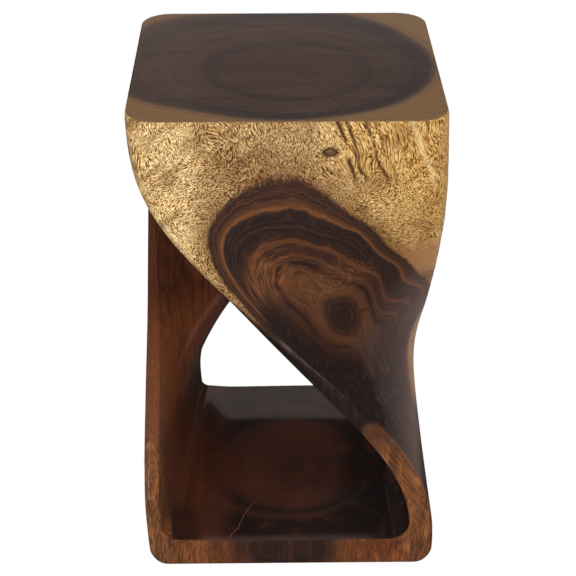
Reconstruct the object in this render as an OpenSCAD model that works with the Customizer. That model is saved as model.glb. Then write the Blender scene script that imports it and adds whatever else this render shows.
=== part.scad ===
// Carved end table. One square block of wood is hollowed right through and turned a quarter turn
// on its way up: the opening runs front to back at the base and side to side at the top.
// The origin is on the floor below the middle of the base. Z is up and the front faces -Y.

/* [Block] */
// Side of the square block
block_w = 300; // [270:5:340]
// Height of the carved wood, without the glides
body_h = 508; // [440:2:600]
// Thickness of the top
top_t = 30; // [24:1:38]
// Thickness of the base
base_t = 32; // [26:1:40]
// Height at the foot of the block that stays square before the turn starts
plain_base = 28; // [14:1:30]
// Depth below the top surface that stays square
plain_top = 6; // [2:1:12]

/* [Edges of the two walls] */
// Wall thickness at the edge that crosses the front face, at the base
front_t_base = 24; // [20:1:40]
// Wall thickness at the front edge, at the top
front_t_top = 27; // [20:1:40]
// Wall thickness at the edge that crosses the right face, at the base
right_t_base = 28; // [18:1:40]
// Wall thickness at the right edge, at the top
right_t_top = 30; // [18:1:40]
// Wall thickness at the edge that crosses the back face, at the base
back_t_base = 48; // [24:1:52]
// Wall thickness at the back edge, at the top
back_t_top = 20; // [16:1:40]
// Wall thickness at the edge that crosses the left face, at the base
left_t_base = 15; // [14:1:40]
// Wall thickness at the left edge, at the top
left_t_top = 23; // [18:1:40]
// Radius between the wall and the floor at the front edge
front_fillet = 24; // [6:1:30]
// Radius between the wall and the floor at the right edge
right_fillet = 24; // [6:1:30]
// Radius between the wall and the floor at the back edge
back_fillet = 8; // [6:1:30]
// Radius between the wall and the floor at the left edge
left_fillet = 18; // [6:1:30]

/* [Carving] */
// Wood taken off the front edge low down, less than zero where it stands out
front_trim_low = 4; // [-40:1:40]
// Wood taken off the front edge halfway up
front_trim_middle = -20; // [-40:1:40]
// Wood taken off the front edge high up
front_trim_high = 10; // [-40:1:40]
// Wood taken off the right edge low down, less than zero where it stands out
right_trim_low = 35; // [-40:1:40]
// Wood taken off the right edge halfway up
right_trim_middle = 1; // [-40:1:40]
// Wood taken off the right edge high up
right_trim_high = -11; // [-40:1:40]
// Wood taken off the back edge low down, less than zero where it stands out
back_trim_low = -2; // [-40:1:40]
// Wood taken off the back edge halfway up
back_trim_middle = 5; // [-40:1:40]
// Wood taken off the back edge high up
back_trim_high = 11; // [-40:1:40]
// Wood taken off the left edge low down, less than zero where it stands out
left_trim_low = -4; // [-40:1:40]
// Wood taken off the left edge halfway up
left_trim_middle = -4; // [-40:1:40]
// Wood taken off the left edge high up
left_trim_high = -2; // [-40:1:40]
// Wood taken off the outer face of the fore wall low down
fore_trim_low = 7; // [-20:1:20]
// Wood taken off the outer face of the fore wall halfway up
fore_trim_middle = -14; // [-20:1:20]
// Wood taken off the outer face of the fore wall high up
fore_trim_high = -11; // [-20:1:20]
// Wood taken off the outer face of the aft wall low down
aft_trim_low = -4; // [-20:1:20]
// Wood taken off the outer face of the aft wall halfway up
aft_trim_middle = -9; // [-20:1:20]
// Wood taken off the outer face of the aft wall high up
aft_trim_high = 0; // [-20:1:20]
// Slant of the fore wall's outer face halfway up, more than zero where the right edge stands out
fore_slant = 5; // [-8:0.5:8]
// Slant of the aft wall's outer face halfway up, less than zero where the back edge stands out
aft_slant = -5; // [-8:0.5:8]

/* [Roundings] */
// Radius of the upright corners at the base
corner_r_base = 6; // [4:1:12]
// Radius of the upright corners at the top
corner_r_top = 30; // [12:1:40]
// Radius where the walls meet the ceiling of the upper opening
ceiling_fillet = 30; // [12:1:40]
// Radius under the two walled sides of the base
heel_r = 20; // [8:1:24]
// Radius under the two open sides of the base
toe_r = 5; // [2:0.5:8]
// Radius around the edge of the top surface
top_edge_r = 2.5; // [1:0.5:5]
// Radius along the inner edges of the openings
lip_r = 4; // [1:0.5:6]

/* [Glides] */
// Diameter of a floor glide
glide_d = 22; // [18:1:30]
// Thickness of a floor glide
glide_t = 4; // [3:0.5:6]
// Distance of the glide centres from the sides of the block
glide_inset = 42; // [36:1:60]
// Radius around the foot of a glide
glide_edge_r = 1.2; // [0.5:0.1:1.5]
// Diameter of the screw shank
screw_d = 3; // [2.5:0.1:4]
// Length of the screw, with its head
screw_l = 16; // [12:1:20]
// Diameter of the screw head
screw_head_d = 6; // [5:0.1:7]
// Depth of the screw head below the foot of the glide
screw_sink = 0.8; // [0.4:0.1:1.2]
// Height of the cone under the screw head
screw_cone_h = 1.6; // [1:0.1:2]
// Width of the slot in the screw head
screw_slot_w = 0.8; // [0.6:0.1:1]
// Depth of the slot in the screw head
screw_slot_h = 0.8; // [0.4:0.1:1]
// Gap round the screw head in the glide
head_gap = 0.2; // [0.1:0.05:0.4]

/* [Filled drying cracks] */
// Width of a filled crack
crack_w = 1.4; // [1:0.1:2.5]
// Depth of a filled crack
crack_depth = 4; // [2:0.5:8]
// Length of the crack that runs in from the left side of the top
side_crack_l = 70; // [30:1:90]
// Distance of that crack in front of the middle of the top
side_crack_y = 8; // [-30:1:40]
// Length of the slanting crack in the front half of the top
slant_crack_l = 57; // [30:1:70]
// Middle of the slanting crack, to the right
slant_crack_x = 42; // [0:1:70]
// Middle of the slanting crack, measured in from the front of the top
slant_crack_in = 50; // [40:1:80]
// Slant of that crack, in degrees
slant_crack_turn = 68; // [45:1:85]
// Distance of the crack in the base from the middle, where it meets the front
base_crack_x = 64; // [40:1:90]
// Height above the underside at which that crack ends on the front
base_crack_foot = 7; // [6:1:20]

/* [Hidden] */

quarter = 90;
half_w = block_w / 2;
wood = "#5a3520";
filler = "#b08a5c";
nylon = "#2b2724";
steel = "#b9bcc0";

// The way of the crack over the floor, from just in front of it: to the right and to the back
base_crack_way = [[0, -1], [0, 5], [2, 14], [10, 24], [14, 46], [30, 77]];

// Steps of the carved surface: up a wall, round a corner, across a slab and round each section
wall_steps = 30;
base_corner_steps = [4, 4, 4];
top_corner_steps = [4, 3, 8];
slab_steps = 6;
outer_steps = 6;
inner_steps = 4;
corner_steps = 4;
lip_steps = 3;

// The edges of a wall: the thickness at base and top, the floor fillet and the wood taken off
front_edge = [front_t_base, front_t_top, front_fillet, [front_trim_low, front_trim_middle, front_trim_high]];
right_edge = [right_t_base, right_t_top, right_fillet, [right_trim_low, right_trim_middle, right_trim_high]];
back_edge = [back_t_base, back_t_top, back_fillet, [back_trim_low, back_trim_middle, back_trim_high]];
left_edge = [left_t_base, left_t_top, left_fillet, [left_trim_low, left_trim_middle, left_trim_high]];
floor_fillet = max(front_fillet, right_fillet, back_fillet, left_fillet);
// The fore wall is 0 and the aft wall is 1. The first edge of each is the one that starts in front.
wall_edges = [[front_edge, right_edge], [left_edge, back_edge]];
wall_faces = [[fore_trim_low, fore_trim_middle, fore_trim_high], [aft_trim_low, aft_trim_middle, aft_trim_high]];

function mix(a, b, s) = a + (b - a) * s;
function clamp(v, lo, hi) = min(max(v, lo), hi);

// How far a circle of radius r falls short of its corner, at a distance d from the tangent point
function arc_cut(r, d) = let (e = clamp(r - d, 0, r)) r - sqrt(r * r - e * e);

// Turn of the section at height h: slow at the base and the top, quickest halfway
function turn(h) =
    let (s = clamp((h - plain_base) / (body_h - plain_top - plain_base), 0, 1))
    quarter * (s - sin(360 * s) / (2 * PI));

// Half the side of the widest square that fits in the block at that turn
function reach(h) = half_w / (cos(turn(h)) + sin(turn(h)));

// Smooth allowance along the height, nothing at the base and the top
function allowance(h, trims) =
    let (s = clamp(h / body_h, 0, 1), r = 1 - s)
    15 * pow(s, 2) * pow(r, 4) * trims[0] + 20 * pow(s * r, 3) * trims[1] + 15 * pow(s, 4) * pow(r, 2) * trims[2];

function corner_r(h) = mix(corner_r_base, corner_r_top, pow(clamp(h / body_h, 0, 1), 4));

// Distance of a wall's outer face from the axis, eased round below and above
function face(wall, h) =
    reach(h) - allowance(h, wall_faces[wall]) - arc_cut(heel_r, h) - arc_cut(top_edge_r, body_h - h);

// Distance of a wall's edge from the middle of the wall, at end 0 or 1
function edge_reach(wall, end, h) =
    reach(h) - allowance(h, wall_edges[wall][end][3]) - arc_cut(toe_r, h) - arc_cut(top_edge_r, body_h - h);

// Thickness of a wall across its width, from end 0 to end 1
function edge_t(wall, end, h) =
    let (s = clamp(h / body_h, 0, 1), ease = s * s * (3 - 2 * s))
    mix(wall_edges[wall][end][0], wall_edges[wall][end][1], ease);
function wall_t(wall, across, h) = mix(edge_t(wall, 0, h), edge_t(wall, 1, h), across);
function fillet_r(wall, across) = mix(wall_edges[wall][0][2], wall_edges[wall][1][2], across);

// Distance of a wall's inner face from the axis, with the fillets at the floor and the ceiling
function inner(wall, across, h) =
    reach(h) - allowance(h, wall_faces[wall]) - wall_t(wall, across, h)
    - arc_cut(fillet_r(wall, across), h - base_t) - arc_cut(ceiling_fillet, body_h - top_t - h);

// The band is a closed loop of stations: down the fore wall, across the base, up the aft wall and
// across the top. A station holds its share of the aft wall, its outer height, its outer distance
// from the axis, signed, and its inner height.
function side_of(wall) = wall == 0 ? 1 : -1;

function corner_third(s, n) = [for (k = [1 : n]) s + k / n / 3];
function corner_shares(steps) =
    concat(corner_third(0, steps[0]), corner_third(1 / 3, steps[1]), corner_third(2 / 3, steps[2]));

// Round the base corner of a wall, from the wall at share 0 to the base at share 1
function base_corner(wall, share) =
    let (inner_h = base_t + floor_fillet * (1 - sin(quarter * share)),
         start_h = base_t + floor_fillet,
         end_d = inner(wall, 0.5, base_t),
         part = share * 3,
         outer_h = part < 1 ? mix(start_h, heel_r, part)
                 : part < 2 ? heel_r * (1 - sin(quarter * (part - 1)))
                 : 0,
         outer_d = part < 2 ? face(wall, outer_h)
                 : mix(face(wall, 0), end_d, part - 2))
    [wall, outer_h, side_of(wall) * outer_d, inner_h];

// Round the top corner of a wall, from the wall at share 0 to the top at share 1
function top_corner(wall, share) =
    let (inner_h = body_h - top_t - ceiling_fillet * (1 - sin(quarter * share)),
         start_h = body_h - top_t - ceiling_fillet,
         end_d = inner(wall, 0.5, body_h - top_t),
         part = share * 3,
         outer_h = part < 1 ? mix(start_h, body_h - top_edge_r, part)
                 : part < 2 ? body_h - top_edge_r * (1 - sin(quarter * (part - 1)))
                 : body_h,
         outer_d = part < 2 ? face(wall, outer_h)
                 : mix(face(wall, body_h), end_d, 1 - cos(quarter * (part - 2))))
    [wall, outer_h, side_of(wall) * outer_d, inner_h];

function wall_stations(wall) =
    [for (k = [0 : wall_steps])
        let (h = mix(body_h - top_t - ceiling_fillet, base_t + floor_fillet, k / wall_steps))
        [wall, h, side_of(wall) * face(wall, h), h]];

function slab_stations(outer_h, inner_h) =
    [for (k = [1 : slab_steps - 1])
        let (s = k / slab_steps)
        [s, outer_h, mix(inner(0, 0.5, inner_h), -inner(1, 0.5, inner_h), s), inner_h]];

function turned_round(list) = [for (k = [len(list) - 1 : -1 : 0]) list[k]];

stations = concat(
    wall_stations(0),
    [for (s = corner_shares(base_corner_steps)) base_corner(0, s)],
    slab_stations(0, base_t),
    turned_round([for (s = corner_shares(base_corner_steps)) base_corner(1, s)]),
    turned_round(wall_stations(1)),
    [for (s = corner_shares(top_corner_steps)) top_corner(1, s)],
    turned_round(slab_stations(body_h, body_h - top_t)),
    turned_round([for (s = corner_shares(top_corner_steps)) top_corner(0, s)]));

// Distance of the surface from the middle at one end, at a distance d from the axis, a height h and
// a depth below the inner face. The upright corners and the inner lips are rounded here.
function limit(share, end, d, h, depth) =
    let (wall = d > 0 ? 0 : 1,
         r = corner_r(h),
         out = abs(d) - (face(wall, h) - r))
    mix(edge_reach(0, end, h), edge_reach(1, end, h), share) - arc_cut(r, r - out) - arc_cut(lip_r, depth);

// Distance from the axis on a slanted wall, which is largest halfway up
function slanted(d, t, h) =
    let (slant = allowance(h, [0, 3.2 * (d > 0 ? fore_slant : aft_slant), 0]))
    d + slant * t * abs(d) / pow(reach(h), 2);

// A point d from the axis and t along the wall, at height h, turned with the section and kept
// inside the block
function placed(d, t, h) =
    let (a = turn(h), e = slanted(d, t, h))
    [clamp(e * cos(a) + t * sin(a), -half_w, half_w),
     clamp(t * cos(a) - e * sin(a), -half_w, half_w),
     h + glide_t];

// Shares of the way from the outer surface to the inner one, at which an end is stepped
function end_shares(width, r) =
    concat([for (k = [1 : corner_steps]) min(r, width - lip_r - 1) / width * (1 - cos(quarter * k / corner_steps))],
           [for (k = [0 : lip_steps - 1]) 1 - lip_r / width * (1 - sin(quarter * k / lip_steps))]);

// The points of one end, from the outer surface to the inner one
function end_points(s, end) =
    let (inner_d = mix(inner(0, end, s[3]), -inner(1, end, s[3]), s[0]),
         width = norm([inner_d - s[2], s[3] - s[1]]))
    [for (q = end_shares(width, corner_r(s[1])))
        let (d = mix(s[2], inner_d, q), h = mix(s[1], s[3], q))
        placed(d, (end * 2 - 1) * limit(s[0], end, d, h, width * (1 - q)), h)];

// The ring of points round one station
function ring(s) =
    let (outer_lo = -limit(s[0], 0, s[2], s[1], block_w),
         outer_hi = limit(s[0], 1, s[2], s[1], block_w),
         inner_lo_d = mix(inner(0, 0, s[3]), -inner(1, 0, s[3]), s[0]),
         inner_hi_d = mix(inner(0, 1, s[3]), -inner(1, 1, s[3]), s[0]),
         inner_lo = -limit(s[0], 0, inner_lo_d, s[3], 0),
         inner_hi = limit(s[0], 1, inner_hi_d, s[3], 0))
    concat(
        [for (k = [0 : outer_steps]) placed(s[2], mix(outer_lo, outer_hi, k / outer_steps), s[1])],
        end_points(s, 1),
        [for (k = [0 : inner_steps])
            let (q = k / inner_steps)
            placed(mix(inner_hi_d, inner_lo_d, q), mix(inner_hi, inner_lo, q), s[3])],
        turned_round(end_points(s, 0)));

module carved_block() {
    rings = [for (s = stations) ring(s)];
    around = len(rings[0]);
    count = len(rings);
    points = [for (r = rings) for (p = r) p];
    faces = [for (i = [0 : count - 1]) for (j = [0 : around - 1])
        let (a = i * around + j,
             b = i * around + (j + 1) % around,
             c = (i + 1) % count * around + (j + 1) % around,
             e = (i + 1) % count * around + j)
        each [[a, b, c], [a, c, e]]];
    polyhedron(points, faces);
}

// The glides sit under the four corners of the base
glide_at = half_w - glide_inset;
function glide_place(x, y) = [x * glide_at, y * glide_at, 0];

// The countersink in the glide carries on the line of the screw's cone
module glide() {
    hole_r = screw_head_d / 2 + head_gap;
    cone_slope = screw_cone_h / (screw_head_d / 2 - screw_d / 2);
    rotate_extrude($fn = 96)
        difference() {
            union() {
                translate([0, glide_edge_r])
                    square([glide_d / 2, glide_t - glide_edge_r]);
                square([glide_d / 2 - glide_edge_r, glide_t]);
                translate([glide_d / 2 - glide_edge_r, glide_edge_r])
                    circle(glide_edge_r, $fn = 48);
            }
            square([screw_d / 2, glide_t]);
            polygon([[0, 0], [hole_r, 0], [hole_r, screw_sink - head_gap * cone_slope],
                     [screw_d / 2, screw_sink + screw_cone_h], [0, screw_sink + screw_cone_h]]);
        }
}

module screw() {
    head_r = screw_head_d / 2;
    top = screw_sink + screw_l;
    difference() {
        rotate_extrude($fn = 48)
            polygon([[0, screw_sink], [head_r, screw_sink],
                     [screw_d / 2, screw_sink + screw_cone_h],
                     [screw_d / 2, top - screw_d], [0, top]]);
        translate([-screw_head_d, -screw_slot_w / 2, screw_sink - screw_slot_h])
            cube([screw_head_d * 2, screw_slot_w, screw_slot_h * 2]);
    }
}

// A hole in the base for one glide screw, with its pointed end
module screw_hole() {
    top = screw_sink + screw_l;
    rotate_extrude($fn = 48)
        polygon([[0, 0], [screw_d / 2, 0], [screw_d / 2, top - screw_d], [0, top]]);
}

// A straight crack in the top surface, from a point along a direction
module top_crack(x, y, angle, length) {
    translate([x, y, body_h + glide_t])
        rotate(angle)
            translate([0, -crack_w / 2, -crack_depth])
                cube([length, crack_w, crack_depth]);
}

module side_crack() {
    top_crack(-half_w, -side_crack_y, 0, side_crack_l);
}

module slant_crack() {
    top_crack(slant_crack_x - slant_crack_l / 2 * cos(slant_crack_turn),
              slant_crack_in - half_w + slant_crack_l / 2 * sin(slant_crack_turn),
              -slant_crack_turn, slant_crack_l);
}

// One side of a crack that gets narrower along its way
function crack_side(way, side) =
    let (last = len(way) - 1)
    [for (k = [0 : last])
        let (along = way[min(k + 1, last)] - way[max(k - 1, 0)],
             half = crack_w / 2 * (1 - 0.6 * k / last))
        way[k] + side * half / norm(along) * [-along[1], along[0]]];

// The crack in the base as seen from above, with its start in front of the wood
module base_crack_outline() {
    polygon(concat(crack_side(base_crack_way, 1), turned_round(crack_side(base_crack_way, -1))));
}

// The crack runs over the floor and, a little narrower, down the front of the base
module base_crack() {
    floor_z = glide_t + base_t;
    foot_z = glide_t + base_crack_foot;
    front_w = crack_w * 0.8;
    translate([-base_crack_x, -half_w, 0]) {
        translate([0, 0, floor_z - crack_depth])
            linear_extrude(crack_depth + lip_r)
                base_crack_outline();
        translate([-front_w / 2, -crack_w, foot_z])
            cube([front_w, crack_w + crack_depth * 0.9, floor_z - crack_depth / 2 - foot_z]);
    }
}

// The filler of a crack ends flush with the wood
module filled() {
    color(filler)
        intersection() {
            carved_block();
            children();
        }
}

module carved_body() {
    color(wood)
        difference() {
            carved_block();
            for (x = [-1, 1])
                for (y = [-1, 1])
                    translate(glide_place(x, y))
                        screw_hole();
            side_crack();
            slant_crack();
            base_crack();
        }
}

module side_crack_filler() {
    filled()
        side_crack();
}

module slant_crack_filler() {
    filled()
        slant_crack();
}

module base_crack_filler() {
    filled()
        base_crack();
}

module placed_glide(x, y) {
    color(nylon)
        translate(glide_place(x, y))
            glide();
}

module placed_screw(x, y) {
    color(steel)
        translate(glide_place(x, y))
            screw();
}

carved_body();
side_crack_filler();
slant_crack_filler();
base_crack_filler();
placed_glide(-1, -1);  // glide_front_left
placed_glide(1, -1);  // glide_front_right
placed_glide(-1, 1);  // glide_back_left
placed_glide(1, 1);  // glide_back_right
placed_screw(-1, -1);  // screw_front_left
placed_screw(1, -1);  // screw_front_right
placed_screw(-1, 1);  // screw_back_left
placed_screw(1, 1);  // screw_back_right
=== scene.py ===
"""Carved end table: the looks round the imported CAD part.

Shapes and rings are in millimetres, and mesh() turns them into metres. Places in the materials, and
the lamps and the camera, are in metres.
"""
import math
from collections import namedtuple

import bpy
import numpy as np
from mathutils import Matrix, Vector


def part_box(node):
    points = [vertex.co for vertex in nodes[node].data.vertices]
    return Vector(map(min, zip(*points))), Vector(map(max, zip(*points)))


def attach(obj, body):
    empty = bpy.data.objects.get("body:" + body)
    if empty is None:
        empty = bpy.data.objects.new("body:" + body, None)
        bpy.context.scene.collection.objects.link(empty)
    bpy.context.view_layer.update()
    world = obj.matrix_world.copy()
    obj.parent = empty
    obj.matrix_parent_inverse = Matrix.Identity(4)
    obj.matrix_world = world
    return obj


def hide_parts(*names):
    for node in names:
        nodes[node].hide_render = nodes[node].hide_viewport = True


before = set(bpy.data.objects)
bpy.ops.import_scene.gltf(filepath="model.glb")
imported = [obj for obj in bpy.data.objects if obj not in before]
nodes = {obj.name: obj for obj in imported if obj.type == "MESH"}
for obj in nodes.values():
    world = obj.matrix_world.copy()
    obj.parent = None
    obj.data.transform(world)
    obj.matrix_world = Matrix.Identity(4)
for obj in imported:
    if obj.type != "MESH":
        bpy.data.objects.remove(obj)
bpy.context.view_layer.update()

# The carved shape, as in the CAD: the block's half width, where it starts and how high it is
body_low, body_high = (np.round(np.array(corner) * 1000, 1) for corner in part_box("carved_body"))
HALF, LIFT, BODY_H = body_high[0], body_low[2], body_high[2] - body_low[2]
TOP_T, BASE_T = 30.0, 32.0
PLAIN_BASE, PLAIN_TOP = 28.0, 6.0
CORNER_BASE, CORNER_TOP = 6.0, 30.0
FLOOR_R, CEILING_R, HEEL_R, TOE_R, TOP_R, LIP_R = 24.0, 30.0, 20.0, 5.0, 2.5, 4.0
SLANT, SLANT_RISE = (5.0, -5.0), 3.2
# each edge: thickness at the base and the top, floor fillet, wood taken off low, middle and high
Edge = namedtuple("Edge", "base_t top_t floor_r trims")
FRONT = Edge(24, 27, 24, (4, -20, 10))
RIGHT = Edge(28, 30, 24, (35, 1, -11))
BACK = Edge(48, 20, 8, (-2, 5, 11))
LEFT = Edge(15, 23, 18, (-4, -4, -2))
EDGES = ((FRONT, RIGHT), (LEFT, BACK))
# and for the outer face of either wall, wood taken off low, middle and high
FACES = ((7, -14, -11), (-4, -9, 0))
# steps of the grid: up a wall, in the three parts of a base and a top corner, along a slab
WALL_N, HEEL_N, TOP_N, SLAB_N = 150, (6, 10, 5), (6, 6, 10), 46
# and round the band: over its outer and inner side, round a corner, along the edge, round a lip
OUTER_N, INNER_N, CORNER_N, EDGE_N, LIP_N = 60, 44, 9, 4, 7


def mix(a, b, s):
    return a + (b - a) * s


def ease(s):
    s = np.clip(s, 0, 1)
    return s * s * (3 - 2 * s)


def quarter(s):
    """What is left of a radius after a share of its quarter turn."""
    return 1 - math.sin(math.pi / 2 * s)


def arc_cut(r, d):
    """How much a rounding of radius r takes off at distance d from its edge."""
    e = np.clip(r - d, 0, r)
    return r - np.sqrt(r * r - e * e)


def turn(h):
    """The twist at a height: a quarter turn in all, starting and ending gently."""
    s = np.clip((h - PLAIN_BASE) / (BODY_H - PLAIN_TOP - PLAIN_BASE), 0, 1)
    return math.pi / 2 * (s - np.sin(2 * math.pi * s) / (2 * math.pi))


def reach(h):
    """How far an untrimmed face stands from the axis, so that its corners stay in the block."""
    return HALF / (np.cos(turn(h)) + np.sin(turn(h)))


def allowance(h, trims):
    """Wood taken off at a height, blended from what is taken off low, middle and high."""
    s = np.clip(h / BODY_H, 0, 1)
    r = 1 - s
    return (15 * s ** 2 * r ** 4 * trims[0] + 20 * (s * r) ** 3 * trims[1]
            + 15 * s ** 4 * r ** 2 * trims[2])


def corner_r(h):
    return mix(CORNER_BASE, CORNER_TOP, np.clip(h / BODY_H, 0, 1) ** 4)


def face(wall, h):
    return reach(h) - allowance(h, FACES[wall]) - arc_cut(HEEL_R, h) - arc_cut(TOP_R, BODY_H - h)


def edge_reach(wall, end, h):
    return (reach(h) - allowance(h, EDGES[wall][end].trims) - arc_cut(TOE_R, h)
            - arc_cut(TOP_R, BODY_H - h))


def edge_t(wall, end, h):
    edge = EDGES[wall][end]
    return mix(edge.base_t, edge.top_t, ease(h / BODY_H))


def inner(wall, across, h):
    """How far a wall's inner side stands from the axis, across from one of its edges to the other."""
    wall_t = mix(edge_t(wall, 0, h), edge_t(wall, 1, h), across)
    fillet = mix(EDGES[wall][0].floor_r, EDGES[wall][1].floor_r, across)
    return (reach(h) - allowance(h, FACES[wall]) - wall_t - arc_cut(fillet, h - BASE_T)
            - arc_cut(CEILING_R, BODY_H - TOP_T - h))


def corner_shares(steps):
    """Even steps within each third of a corner."""
    return [(k + j / n) / 3 for k, n in enumerate(steps) for j in range(1, n + 1)]


def base_corner(wall, share):
    """Down the wall to its heel, round the heel, and in along the underside."""
    inner_h = BASE_T + FLOOR_R * quarter(share)
    part = share * 3
    if part < 2:
        outer_h = mix(BASE_T + FLOOR_R, HEEL_R, part) if part < 1 else HEEL_R * quarter(part - 1)
        outer_d = face(wall, outer_h)
    else:
        outer_h = 0.0
        outer_d = mix(face(wall, 0.0), inner(wall, 0.5, BASE_T), part - 2)
    return wall, outer_h, (1 - 2 * wall) * outer_d, inner_h


def top_corner(wall, share):
    """Up the wall, over its top edge, and in along the top."""
    ceiling = BODY_H - TOP_T
    inner_h = ceiling - CEILING_R * quarter(share)
    part = share * 3
    if part < 2:
        outer_h = (mix(ceiling - CEILING_R, BODY_H - TOP_R, part) if part < 1
                   else BODY_H - TOP_R * quarter(part - 1))
        outer_d = face(wall, outer_h)
    else:
        outer_h = BODY_H
        way_in = 1 - math.cos(math.pi / 2 * (part - 2))
        outer_d = mix(face(wall, BODY_H), inner(wall, 0.5, ceiling), way_in)
    return wall, outer_h, (1 - 2 * wall) * outer_d, inner_h


def wall_stations(wall):
    hs = [mix(BODY_H - TOP_T - CEILING_R, BASE_T + FLOOR_R, k / WALL_N)
          for k in range(WALL_N + 1)]
    return [(wall, h, (1 - 2 * wall) * face(wall, h), h) for h in hs]


def slab_stations(outer_h, inner_h):
    ends = inner(0, 0.5, inner_h), -inner(1, 0.5, inner_h)
    return [(k / SLAB_N, outer_h, mix(*ends, k / SLAB_N), inner_h) for k in range(1, SLAB_N)]


def stations():
    """Once round the band: share of the way aft, outer height, outer place and inner height."""
    base = corner_shares(HEEL_N)
    top = corner_shares(TOP_N)
    rows = wall_stations(0) + [base_corner(0, s) for s in base] + slab_stations(0.0, BASE_T)
    rows += [base_corner(1, s) for s in base][::-1] + wall_stations(1)[::-1]
    rows += [top_corner(1, s) for s in top] + slab_stations(BODY_H, BODY_H - TOP_T)[::-1]
    rows += [top_corner(0, s) for s in top][::-1]
    return np.array(rows, dtype=float)


def two_walls(d, of_wall):
    """What of_wall says of the fore wall where d is positive, and of the aft wall elsewhere."""
    return np.where(d > 0, of_wall(0), of_wall(1))


def limit(share, end, d, h, depth):
    """How far the band reaches sideways at a place, with its corners and lips rounded."""
    r = corner_r(h)
    out = np.abs(d) - (two_walls(d, lambda w: face(w, h)) - r)
    return (mix(edge_reach(0, end, h), edge_reach(1, end, h), share) - arc_cut(r, r - out)
            - arc_cut(LIP_R, depth))


def placed(d, t, h):
    """Turns the band's own places into the table's."""
    a = turn(h)
    slant = allowance(h, (0, SLANT_RISE, 0)) * two_walls(d, lambda w: SLANT[w])
    e = d + slant * t * np.abs(d) / reach(h) ** 2
    x = np.clip(e * np.cos(a) + t * np.sin(a), -HALF, HALF)
    y = np.clip(t * np.cos(a) - e * np.sin(a), -HALF, HALF)
    return np.stack([x, y, h + 0 * x], -1)


def end_points(share, oh, od, ih, end):
    """The edge of the band from its outer to its inner side."""
    inner_d = mix(inner(0, end, ih), -inner(1, end, ih), share)
    width = np.hypot(inner_d - od, ih - oh)
    r = np.minimum(corner_r(oh), width - LIP_R - 1)
    steps = [r / width * (1 - math.cos(math.pi / 2 * k / CORNER_N)) for k in range(1, CORNER_N + 1)]
    steps += [mix(r / width, 1 - LIP_R / width, k / EDGE_N) for k in range(1, EDGE_N)]
    steps += [1 - LIP_R / width * quarter(k / LIP_N) for k in range(LIP_N)]
    q = np.stack(steps, 1)
    share, oh, od, ih, inner_d, width = (v[:, None] for v in (share, oh, od, ih, inner_d, width))
    d, h = mix(od, inner_d, q), mix(oh, ih, q)
    return placed(d, (end * 2 - 1) * limit(share, end, d, h, width * (1 - q)), h)


def carved_points():
    share, oh, od, ih = stations().T
    far = 2 * HALF
    lo, hi = -limit(share, 0, od, oh, far), limit(share, 1, od, oh, far)
    k = np.linspace(0, 1, OUTER_N + 1)[None]
    outer = placed(od[:, None] + 0 * k, mix(lo[:, None], hi[:, None], k), oh[:, None])
    lo_d, hi_d = (mix(inner(0, end, ih), -inner(1, end, ih), share) for end in (0, 1))
    lo, hi = -limit(share, 0, lo_d, ih, 0), limit(share, 1, hi_d, ih, 0)
    k = np.linspace(0, 1, INNER_N + 1)[None]
    inside = placed(mix(hi_d[:, None], lo_d[:, None], k), mix(hi[:, None], lo[:, None], k),
                    ih[:, None])
    return np.concatenate([outer, end_points(share, oh, od, ih, 1), inside,
                           end_points(share, oh, od, ih, 0)[:, ::-1]], 1)


# What the carver's hand added: how far the body is shifted and widened at even steps of height
SHIFT = (3.6, 3.1, 1.7, 1.1, 1.7, 2.2, 2.4, 2.1, 1.9, 1.7, 1.7, 1.5, 0.6, -0.3)
WIDEN = (-1.2, 0.1, 0.1, -0.4, 0.2, 1.0, 1.2, 1.2, 0.9, 0.2, -0.4, -0.6, -0.3, 0.2)
# how the floor climbs to a brow, which lies further back at its left, and falls behind it, and how
# far up the walls follow it
CLIMB, CLIMB_FROM, BROW_Y, LEFT_BROW_Y, BROW_R, FALL, FOLLOW_H = 7, -60, 76, 131, 3, 0.036, 80


def curve(values, share):
    """A smooth line through evenly spaced values."""
    v = np.array([values[0], *values, values[-1]])
    s = np.clip(share, 0, 1) * (len(values) - 1)
    i = np.minimum(s.astype(int), len(values) - 2)
    t = s - i
    a, b, c, d = v[i], v[i + 1], v[i + 2], v[i + 3]
    return b + t / 2 * (c - a + t * (2 * a - 5 * b + 4 * c - d + t * (3 * (b - c) + d - a)))


def by_hand(p):
    """The floor climbs to a brow near its back edge, and the walls sway a hair sideways."""
    x, y, z = p[..., 0], p[..., 1], p[..., 2]
    brow = mix(BROW_Y, LEFT_BROW_Y, ease((-x - 66) / 34))
    climb = CLIMB * ease((y - CLIMB_FROM) / (brow - CLIMB_FROM))
    fall = FALL * BROW_R * np.log1p(np.exp((y - brow) / BROW_R))
    back_wave = 0.9 * np.sin(x / 38 + 0.3) * np.clip((y - 20) / 128, 0, 1)
    rise = climb - fall + back_wave + 0.3 * np.sin(x / 31) * np.sin(y / 27)
    share = ease(np.where(z < BASE_T, z / BASE_T, 1 - (z - BASE_T) / FOLLOW_H))
    sway = curve(SHIFT, z / BODY_H) + x / HALF * curve(WIDEN, z / BODY_H)
    return np.stack([x + sway, y, z + rise * share + LIFT], -1)


# Growth rings: the core's place at the foot and at the top, the middle of the outer rings, and how
# far the rings' middles bow out between the two
PITH_FOOT, PITH_TOP, OUTER_CENTRE, BOW = (30.0, -23.5), (26.0, -33.0), (-15.0, 15.0), (18, 36)
# the heartwood's radius, a pull's reach, the span of the colour ramps, and an even swelling
HEART_R, PULL_R, RING_SPAN, EVEN_SWELL = 170.0, 42.0, 200.0, -2.0
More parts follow.
